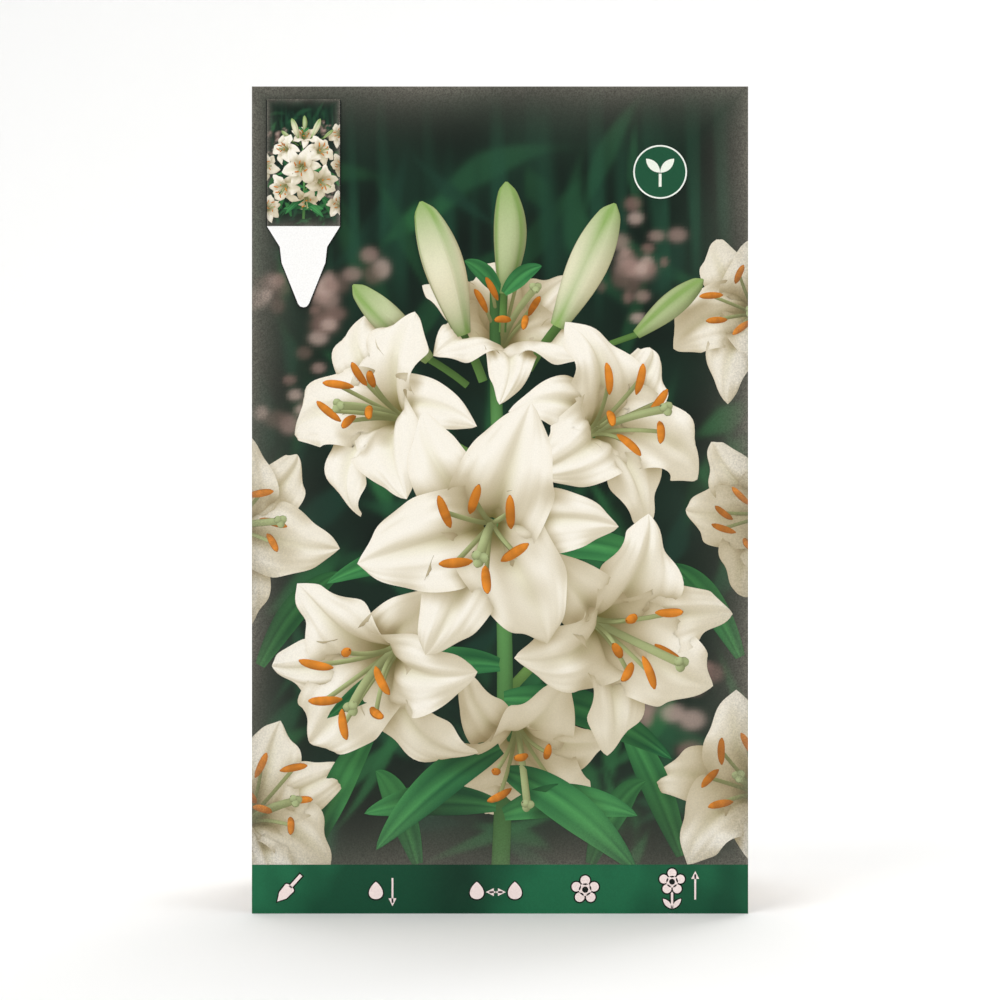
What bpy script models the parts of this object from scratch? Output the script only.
"""Carded sales pack of one lily bulb, for Blender 4.5. Metres, +Z up.

A printed board card stands upright with its face towards -Y. Behind it stands a clear block-bottom film bag with
side gussets, which narrows to a crimped seal at the card's top. The bag holds one lily bulb of fleshy scales with
its roots, bedded in wood shavings, and a pointed plastic stake label. The origin is at the bottom centre.
"""

import math
import random

import bmesh
import bpy
from mathutils import Matrix, Vector

MM = 0.001

# Driving dimensions, in millimetres
CARD_WIDTH = 120.0
CARD_HEIGHT = 200.0
CARD_THICK = 0.6
CLEARANCE = 0.3

BAG_WIDTH = 112.0
GUSSET = 70.0
FILM = 0.6
FILL_HEIGHT = 78.0
SEAL_BOTTOM = 184.0
SEAL_TOP = 196.0
SEAL_THICK = 1.3
NECK_DEPTH = 2.4
FOOT_ROUND = 1.6
VENT_RADIUS = 3.0
FOLD_STEPS = 12

BULB_RADIUS = 31.5
BULB_HALF_HEIGHT = 30.0
BULB_CENTRE_HEIGHT = 46.0
BULB_CUT_HEIGHT = 20.0
PLATE_RADIUS = 12.0
PLATE_THICK = 5.0

LABEL_WIDTH = 44.0
LABEL_THICK = 0.8
LABEL_TILT = math.radians(7.0)
LABEL_TIP = (-9.0, 8.0)

# Worked out from them
DEPTH = CARD_THICK + CLEARANCE + GUSSET
CARD_FRONT_Y = -DEPTH / 2
BAG_FRONT_Y = CARD_FRONT_Y + CARD_THICK + CLEARANCE
BAG_BACK_Y = DEPTH / 2
LABEL_BACK_Y = BAG_FRONT_Y + FILM + CLEARANCE + LABEL_THICK
BULB_CENTRE_Y = (LABEL_BACK_Y + BAG_BACK_Y - FILM) / 2

# Vent holes in the sloping back panel: across, up
VENTS = [(x, z) for z in (96.0, 128.0) for x in (-22.0, 0.0, 22.0)] + [(-12.0, 156.0), (12.0, 156.0)]

# The rings of scales, from the outside in: how many, ring radius as a share of the bulb's, the angle from the base
# to the tip in degrees, half the scale's width in mm, its thickness in mm, and the first scale's turn in degrees
SCALE_RINGS = (
    (10, 1.00, 110.0, 10.8, 4.2, 0.0),
    (10, 0.95, 128.0, 11.2, 4.4, 18.0),
    (9, 0.85, 142.0, 10.8, 4.4, 7.0),
    (7, 0.69, 153.0, 9.5, 4.4, 25.0),
    (4, 0.48, 163.0, 7.5, 4.4, 11.0),
)
SCALE_ACROSS = 4
SCALE_ALONG = 6

ROOT_COUNT = 17
ROOT_RADIUS = 1.5
ROOT_SEED = 7


def clear_scene():
    """Removes every object, so that the file can be run again."""
    for obj in list(bpy.data.objects):
        bpy.data.objects.remove(obj)


def collection(name, parent=None):
    """A new collection, in the scene or in another collection."""
    made = bpy.data.collections.new(name)
    (parent or bpy.context.scene.collection).children.link(made)
    return made


def material(name, colour, roughness, alpha=1.0):
    """A plain Principled material."""
    mat = bpy.data.materials.new(name)
    mat.use_nodes = True
    shader = mat.node_tree.nodes["Principled BSDF"]
    shader.inputs["Base Color"].default_value = (*colour, 1.0)
    shader.inputs["Roughness"].default_value = roughness
    shader.inputs["Metallic"].default_value = 0.0
    shader.inputs["Alpha"].default_value = alpha
    return mat


def object_from(name, bm, where, mat=None):
    """A named object from a bmesh, with outward faces, in a collection."""
    bmesh.ops.recalc_face_normals(bm, faces=bm.faces)
    mesh = bpy.data.meshes.new(name)
    bm.to_mesh(mesh)
    bm.free()
    obj = bpy.data.objects.new(name, mesh)
    where.objects.link(obj)
    if mat:
        mesh.materials.append(mat)
    return obj


def helper(obj):
    """Marks an object as a cutter or guide."""
    obj.hide_render = True
    obj.display_type = "WIRE"
    return obj


def boolean(obj, operation, other=None, group=None, solver="EXACT"):
    """Adds a Boolean modifier that takes an object or a collection."""
    mod = obj.modifiers.new(operation.title(), "BOOLEAN")
    mod.operation = operation
    mod.solver = solver
    if group:
        mod.operand_type = "COLLECTION"
        mod.collection = group
    else:
        mod.object = other
    return mod


def apply_modifiers(obj):
    """Replaces the object's mesh by its evaluated one, and drops the modifiers."""
    bpy.context.view_layer.update()
    graph = bpy.context.evaluated_depsgraph_get()
    mesh = bpy.data.meshes.new_from_object(obj.evaluated_get(graph))
    obj.modifiers.clear()
    obj.data = mesh
    return obj


def keep_outer_shell(obj):
    """Fills the hollows that a union sealed: only the shell that reaches furthest stays, and the inner ones go."""
    bm = bmesh.new()
    bm.from_mesh(obj.data)
    left = set(bm.verts)
    shells = []
    while left:
        todo = [left.pop()]
        shell = list(todo)
        while todo:
            for edge in todo.pop().link_edges:
                for v in edge.verts:
                    if v in left:
                        left.remove(v)
                        todo.append(v)
                        shell.append(v)
        shells.append(shell)
    shells.sort(key=lambda shell: max(v.co.x for v in shell) - min(v.co.x for v in shell))
    for shell in shells[:-1]:
        bmesh.ops.delete(bm, geom=shell, context="VERTS")
    bm.to_mesh(obj.data)
    bm.free()
    return obj


def loft(name, sections, where, mat=None):
    """A closed solid through sections that have the same number of points, each a list of (x, y, z) in mm.

    Each side quad is split along the same diagonal, so that a hollow lofted inside stays a wall away from the outside.
    """
    bm = bmesh.new()
    rings = [[bm.verts.new(Vector(p) * MM) for p in section] for section in sections]
    count = len(rings[0])
    for low, high in zip(rings, rings[1:]):
        for i in range(count):
            j = (i + 1) % count
            bm.faces.new((low[i], low[j], high[j]))
            bm.faces.new((low[i], high[j], high[i]))
    caps = [bm.faces.new(list(reversed(rings[0]))), bm.faces.new(rings[-1])]
    bmesh.ops.triangulate(bm, faces=caps)
    return object_from(name, bm, where, mat)


def box_cutter(name, low, high, where):
    """A box between two corners in mm."""
    bm = bmesh.new()
    bmesh.ops.create_cube(bm, size=1.0)
    for v in bm.verts:
        for i in range(3):
            v.co[i] = (low[i] + (v.co[i] + 0.5) * (high[i] - low[i])) * MM
    return helper(object_from(name, bm, where))


def cylinder_cutter(name, radius, centre, axis_y_span, where, segments=16):
    """A cylinder along Y, from one y to another, in mm."""
    bm = bmesh.new()
    low, high = axis_y_span
    bmesh.ops.create_cone(
        bm, cap_ends=True, segments=segments, radius1=radius * MM, radius2=radius * MM, depth=(high - low) * MM
    )
    turn = Matrix.Rotation(math.pi / 2, 4, "X")
    place = Matrix.Translation(Vector((centre[0], (low + high) / 2, centre[1])) * MM)
    bmesh.ops.transform(bm, matrix=place @ turn, verts=bm.verts)
    return helper(object_from(name, bm, where))


def bag_depth(z):
    """How far the bag reaches back at a height: full over the filling, then a taut slope up to the seal."""
    if z <= FILL_HEIGHT:
        return GUSSET
    share = min(1.0, (z - FILL_HEIGHT) / (SEAL_BOTTOM - FILL_HEIGHT))
    return GUSSET + (NECK_DEPTH - GUSSET) * share


def gusset_fold(depth):
    """How far the gusset folds inwards, because its two halves keep their width."""
    half = GUSSET / 2
    return math.sqrt(max(half * half - depth * depth / 4, 0.25))


def bag_section(z, depth, fold, inset=0.0):
    """The bag's outline at a height: two flat panels joined by a V-shaped gusset at each side."""
    half = BAG_WIDTH / 2 - inset
    front, back = BAG_FRONT_Y + inset, BAG_FRONT_Y + depth - inset
    middle = (front + back) / 2
    return [
        (-half, front, z),
        (half, front, z),
        (half - fold, middle, z),
        (half, back, z),
        (-half, back, z),
        (-half + fold, middle, z),
    ]


def seal_section(z):
    """The flat seal's outline, with as many points as the bag's."""
    half, back = BAG_WIDTH / 2, BAG_FRONT_Y + SEAL_THICK
    middle = (BAG_FRONT_Y + back) / 2
    return [
        (-half, BAG_FRONT_Y, z),
        (half, BAG_FRONT_Y, z),
        (half, middle, z),
        (half, back, z),
        (-half, back, z),
        (-half, middle, z),
    ]


def cavity_section(z, wall=FILM):
    """The outline of the space inside, a wall in from each panel and gusset half, and a wall below what slopes."""
    depth = bag_depth(z + FILM)
    fold = gusset_fold(depth)
    half = BAG_WIDTH / 2
    slant = math.sqrt(1 + (depth / (2 * fold)) ** 2)
    tip = half - fold * 2 * wall * (1 + slant) / depth
    vertex = half - fold - 2 * fold * wall * slant / depth
    front, back = BAG_FRONT_Y + wall, BAG_FRONT_Y + depth - wall
    middle = (front + back) / 2
    return [
        (-tip, front, z),
        (tip, front, z),
        (vertex, middle, z),
        (tip, back, z),
        (-tip, back, z),
        (-vertex, middle, z),
    ]


def build_card(where, mat):
    """The printed board, upright, with sharp corners."""
    bm = bmesh.new()
    bmesh.ops.create_cube(bm, size=1.0)
    size = Vector((CARD_WIDTH, CARD_THICK, CARD_HEIGHT)) * MM
    bmesh.ops.scale(bm, vec=size, verts=bm.verts)
    obj = object_from("printed_card", bm, where, mat)
    obj.location = Vector((0, CARD_FRONT_Y + CARD_THICK / 2, CARD_HEIGHT / 2)) * MM
    return obj


def bag_heights():
    """Heights for the bag's sections, closest where the gusset folds in fastest: even steps of the fold's angle."""
    heights = [FOOT_ROUND, FILL_HEIGHT]
    last = math.acos(NECK_DEPTH / GUSSET)
    for k in range(1, FOLD_STEPS + 1):
        depth = GUSSET * math.cos(last * k / FOLD_STEPS)
        share = (GUSSET - depth) / (GUSSET - NECK_DEPTH)
        heights.append(FILL_HEIGHT + (SEAL_BOTTOM - FILL_HEIGHT) * share)
    return heights


def build_bag(where, cutters, mat):
    """The clear film bag: an outer body less its inside, with vent holes through the back panel."""
    heights = bag_heights()
    outer = [bag_section(0.0, GUSSET, gusset_fold(GUSSET), FOOT_ROUND)]
    outer += [bag_section(z, bag_depth(z), gusset_fold(bag_depth(z))) for z in heights]
    outer += [seal_section(z) for z in (SEAL_BOTTOM + 2.0, SEAL_TOP)]
    bag = loft("film_bag", outer, where, mat)
    inner = [cavity_section(FILM, FILM + FOOT_ROUND)]
    inner += [cavity_section(z) for z in [FOOT_ROUND + FILM, FILL_HEIGHT - 2 * FILM] + heights[1:-1]]
    hollow = helper(loft("bag_hollow", inner, cutters))
    boolean(bag, "DIFFERENCE", hollow)
    vents = collection("vent_cutters", cutters)
    for i, (x, z) in enumerate(VENTS):
        back = BAG_FRONT_Y + bag_depth(z)
        cylinder_cutter(f"vent_{i}", VENT_RADIUS, (x, z), (back - 5.0, back + 5.0), vents)
    boolean(bag, "DIFFERENCE", group=vents)
    return apply_modifiers(bag)


def scale_leaf(name, turn, ring_radius, tip_angle, half_width, thick, where):
    """One fleshy scale: a pointed, hollowed leaf that follows the bulb's rounded side from base to tip."""
    bm = bmesh.new()
    start = math.radians(18.0)
    end = math.radians(tip_angle)
    layers = []
    for side in (0, 1):
        rows = []
        for j in range(SCALE_ALONG + 1):
            t = j / SCALE_ALONG
            angle = start + (end - start) * t
            width = half_width * min(1.0, 1.25 * math.sin(math.pi * (0.16 + 0.84 * t)) ** 0.75 + 0.02)
            flare = 1.6 * t ** 5
            row = []
            for i in range(SCALE_ACROSS + 1):
                s = -1 + 2 * i / SCALE_ACROSS
                out = ring_radius * BULB_RADIUS * math.sin(angle) + flare + 1.1 * s
                body = 0.35 + 0.65 * (1 - s * s)
                out -= side * thick * body * (0.45 + 0.55 * math.sin(math.pi * min(1.0, 0.25 + 0.75 * t)))
                out = max(out, 1.0)
                around = turn + s * width / max(ring_radius * BULB_RADIUS * math.sin(angle), 7.0)
                up = BULB_CENTRE_HEIGHT - BULB_HALF_HEIGHT * (0.9 + 0.1 * ring_radius) * math.cos(angle)
                up += 2.0 * t * (1 - ring_radius)
                row.append(
                    bm.verts.new(
                        Vector((out * math.cos(around), BULB_CENTRE_Y + out * math.sin(around), up)) * MM
                    )
                )
            rows.append(row)
        layers.append(rows)
    for side, rows in enumerate(layers):
        for j in range(SCALE_ALONG):
            for i in range(SCALE_ACROSS):
                quad = (rows[j][i], rows[j][i + 1], rows[j + 1][i + 1], rows[j + 1][i])
                bm.faces.new(quad if side == 0 else tuple(reversed(quad)))
    outer, inner = layers
    rim = [(0, i) for i in range(SCALE_ACROSS)]
    rim += [(j, SCALE_ACROSS) for j in range(SCALE_ALONG)]
    rim += [(SCALE_ALONG, i) for i in range(SCALE_ACROSS, 0, -1)]
    rim += [(j, 0) for j in range(SCALE_ALONG, 0, -1)]
    for (j, i), (k, m) in zip(rim, rim[1:] + rim[:1]):
        bm.faces.new((outer[k][m], outer[j][i], inner[j][i], inner[k][m]))
    bmesh.ops.triangulate(bm, faces=bm.faces)
    return object_from(name, bm, where)


def build_scales(where, cutters, mat):
    """The bulb's body: rings of overlapping scales joined to a core, cut flat where the basal plate sits."""
    leaves = collection("scale_leaves", cutters)
    for ring, (count, share, tip, half, thick, first) in enumerate(SCALE_RINGS):
        for i in range(count):
            turn = math.radians(first + 360.0 * i / count + 5.0 * math.sin(3.1 * i + ring))
            reach = tip + 4.0 * math.sin(2.3 * i + 1.7 * ring)
            scale_leaf(f"leaf_{ring}_{i}", turn, share, reach, half, thick, leaves)
    bm = bmesh.new()
    bmesh.ops.create_uvsphere(bm, u_segments=20, v_segments=12, radius=1.0)
    for v in bm.verts:
        v.co = Vector(
            (
                v.co.x * BULB_RADIUS * 0.84,
                v.co.y * BULB_RADIUS * 0.84 + BULB_CENTRE_Y,
                v.co.z * BULB_HALF_HEIGHT * 0.9 + BULB_CENTRE_HEIGHT - 1.5,
            )
        )
        v.co *= MM
    bulb = object_from("bulb_scales", bm, where, mat)
    boolean(bulb, "UNION", group=leaves, solver="MANIFOLD")
    keep_outer_shell(apply_modifiers(bulb))
    for obj in list(leaves.objects):
        bpy.data.objects.remove(obj)
    reach = 2 * BULB_RADIUS
    foot = box_cutter(
        "scale_foot",
        (-reach, BULB_CENTRE_Y - reach, 0.0),
        (reach, BULB_CENTRE_Y + reach, BULB_CUT_HEIGHT),
        cutters,
    )
    boolean(bulb, "DIFFERENCE", foot, solver="MANIFOLD")
    apply_modifiers(bulb)
    bpy.data.objects.remove(foot)
    return bulb


def root_points(index, rng):
    """One root's route in mm: out of the plate, down, and along the bottom in a loose wave."""
    turn = 2 * math.pi * (index + rng.uniform(-0.25, 0.25)) / ROOT_COUNT
    near = 4.5 if index % 2 else 8.5
    reach = rng.uniform(17.0, 25.0)
    low = rng.uniform(4.5, 8.0)
    start = BULB_CUT_HEIGHT - CLEARANCE - PLATE_THICK + 1.4
    points = []
    for k in range(7):
        t = k / 6
        radius = near + (reach - near) * t ** 1.2
        bend = turn + 0.35 * math.sin(2.6 * t + index) * t
        height = start + (low - start) * math.sin(0.5 * math.pi * t) ** 1.1 + 0.8 * math.sin(5 * t + index) * t
        points.append((radius * math.cos(bend), BULB_CENTRE_Y + radius * math.sin(bend), height))
    return points


def build_roots(where, cutters, mat):
    """The basal plate with its fleshy roots, joined in one body."""
    rng = random.Random(ROOT_SEED)
    strands = collection("root_strands", cutters)
    for index in range(ROOT_COUNT):
        points = root_points(index, rng)
        curve = bpy.data.curves.new(f"strand_{index}", "CURVE")
        curve.dimensions = "3D"
        curve.bevel_depth = ROOT_RADIUS * MM
        curve.bevel_resolution = 1
        curve.use_fill_caps = True
        spline = curve.splines.new("POLY")
        spline.points.add(len(points) - 1)
        for k, p in enumerate(points):
            spline.points[k].co = (*(Vector(p) * MM), 1.0)
            spline.points[k].radius = 1.0 - 0.55 * k / (len(points) - 1)
        source = bpy.data.objects.new(f"strand_curve_{index}", curve)
        strands.objects.link(source)
        bpy.context.view_layer.update()
        graph = bpy.context.evaluated_depsgraph_get()
        mesh = bpy.data.meshes.new_from_object(source.evaluated_get(graph))
        bm = bmesh.new()
        bm.from_mesh(mesh)
        bmesh.ops.remove_doubles(bm, verts=bm.verts, dist=0.01 * MM)
        bmesh.ops.triangulate(bm, faces=bm.faces)
        object_from(f"strand_{index}", bm, strands)
        bpy.data.objects.remove(source)
    bm = bmesh.new()
    bmesh.ops.create_cone(
        bm,
        cap_ends=True,
        segments=24,
        radius1=PLATE_RADIUS * 0.8 * MM,
        radius2=PLATE_RADIUS * MM,
        depth=PLATE_THICK * MM,
    )
    top = BULB_CUT_HEIGHT - CLEARANCE
    bmesh.ops.translate(bm, vec=Vector((0, BULB_CENTRE_Y, top - PLATE_THICK / 2)) * MM, verts=bm.verts)
    plate = object_from("bulb_roots", bm, where, mat)
    boolean(plate, "UNION", group=strands, solver="MANIFOLD")
    keep_outer_shell(apply_modifiers(plate))
    for obj in list(strands.objects):
        bpy.data.objects.remove(obj)
    return plate


def build_shavings(where, cutters, mat):
    """The bedding: a block that fills the bag's foot, hollowed for the bulb and its roots, open at the back."""
    wall = FILM + CLEARANCE
    front_gap = 3 * CLEARANCE + LABEL_THICK
    half = BAG_WIDTH / 2 - wall - 0.6
    columns, rows = 14, 9
    front, back = BAG_FRONT_Y + FILM + front_gap, BAG_BACK_Y - wall
    bm = bmesh.new()
    grid = {}
    for level in range(5):
        for i in range(columns + 1):
            for j in range(rows + 1):
                edge = i in (0, columns) or j in (0, rows)
                if not edge and level in (1, 2, 3):
                    continue
                x = -half + 2 * half * i / columns
                y = front + (back - front) * j / rows
                heap = 70.0 + 2.6 * math.sin(0.09 * x + 1.0) + 2.2 * math.sin(0.13 * y + 0.07 * x)
                heap -= 3.0 * (2 * abs(x) / BAG_WIDTH) ** 3
                z = wall + 0.4 + (heap - wall) * level / 4
                inset = (FOOT_ROUND + 0.6) if level == 0 else 0.0
                px = max(-half + inset, min(half - inset, x))
                py = max(front + inset, min(back - inset, y))
                grid[level, i, j] = bm.verts.new(Vector((px, py, z)) * MM)
    for level in (0, 4):
        for i in range(columns):
            for j in range(rows):
                bm.faces.new([grid[level, i + a, j + b] for a, b in ((0, 0), (1, 0), (1, 1), (0, 1))])
    rim = [(i, 0) for i in range(columns)] + [(columns, j) for j in range(rows)]
    rim += [(i, rows) for i in range(columns, 0, -1)] + [(0, j) for j in range(rows, 0, -1)]
    for level in range(4):
        for (i, j), (k, m) in zip(rim, rim[1:] + rim[:1]):
            corners = ((level, i, j), (level, k, m), (level + 1, k, m), (level + 1, i, j))
            bm.faces.new([grid[c] for c in corners])
    bmesh.ops.triangulate(bm, faces=bm.faces)
    block = object_from("wood_shavings", bm, where, mat)

    bm = bmesh.new()
    bmesh.ops.create_uvsphere(bm, u_segments=28, v_segments=18, radius=1.0)
    for v in bm.verts:
        grown = BULB_RADIUS + 2.9
        v.co = Vector((v.co.x * grown, v.co.y * grown + BULB_CENTRE_Y, v.co.z * 40.0 + BULB_CENTRE_HEIGHT)) * MM
    nest = helper(object_from("bulb_nest", bm, cutters))
    root_room = 27.5
    bm = bmesh.new()
    bmesh.ops.create_cone(
        bm, cap_ends=True, segments=28, radius1=root_room * MM, radius2=root_room * MM, depth=24.0 * MM
    )
    bmesh.ops.translate(bm, vec=Vector((0, BULB_CENTRE_Y, 2.2 + 12.0)) * MM, verts=bm.verts)
    roots = helper(object_from("root_room", bm, cutters))
    window = cylinder_cutter("back_window", 25.0, (0.0, 44.0), (BULB_CENTRE_Y, BAG_BACK_Y + 3.0), cutters, 28)
    for cutter in (nest, roots, window):
        boolean(block, "DIFFERENCE", cutter, solver="MANIFOLD")
    return apply_modifiers(block)


def label_outline():
    """The stake label's outline, head up: square shoulders, then a waist and a rounded point, in label widths."""
    side = [(0.5, 1.11), (0.325, 0.83), (0.30, 0.61), (0.075, 0.05), (0.045, 0.012), (0.0, 0.0)]
    corner = 0.035
    rounded = []
    for k in range(5):
        a = 0.5 * math.pi * (1 - k / 4)
        rounded.append((0.5 - corner + corner * math.cos(a), 2.86 - corner + corner * math.sin(a)))
    right = rounded + side
    left = [(-x, y) for x, y in reversed(right) if x > 0]
    return [(x * LABEL_WIDTH, y * LABEL_WIDTH) for x, y in right + left]


def build_label(where, mat):
    """The plastic stake label, leaning a little, upright against the bag's front panel."""
    curve = bpy.data.curves.new("stake_label", "CURVE")
    curve.dimensions = "2D"
    curve.fill_mode = "BOTH"
    curve.extrude = LABEL_THICK / 2 * MM
    points = label_outline()
    spline = curve.splines.new("POLY")
    spline.points.add(len(points) - 1)
    for k, (x, y) in enumerate(points):
        spline.points[k].co = (x * MM, y * MM, 0.0, 1.0)
    spline.use_cyclic_u = True
    curve.materials.append(mat)
    obj = bpy.data.objects.new("stake_label", curve)
    where.objects.link(obj)
    middle = BAG_FRONT_Y + FILM + CLEARANCE + LABEL_THICK / 2
    upright = Matrix.Rotation(math.pi / 2, 4, "X")
    lean = Matrix.Rotation(LABEL_TILT, 4, "Y")
    place = Matrix.Translation(Vector((LABEL_TIP[0], middle, LABEL_TIP[1])) * MM)
    obj.matrix_world = place @ lean @ upright
    return obj


def main():
    """Builds the pack."""
    clear_scene()
    pack = collection("lily_bulb_pack")
    cutters = collection("cutters")
    build_card(pack, material("printed_board", (0.03, 0.10, 0.06), 0.35))
    build_bag(pack, cutters, material("clear_film", (0.92, 0.94, 0.94), 0.08, 0.25))
    build_scales(pack, cutters, material("bulb_flesh", (0.80, 0.68, 0.42), 0.5))
    build_roots(pack, cutters, material("root_flesh", (0.42, 0.28, 0.14), 0.7))
    build_shavings(pack, cutters, material("pine_shavings", (0.72, 0.50, 0.28), 0.8))
    build_label(pack, material("label_plastic", (0.9, 0.9, 0.88), 0.4))


main()
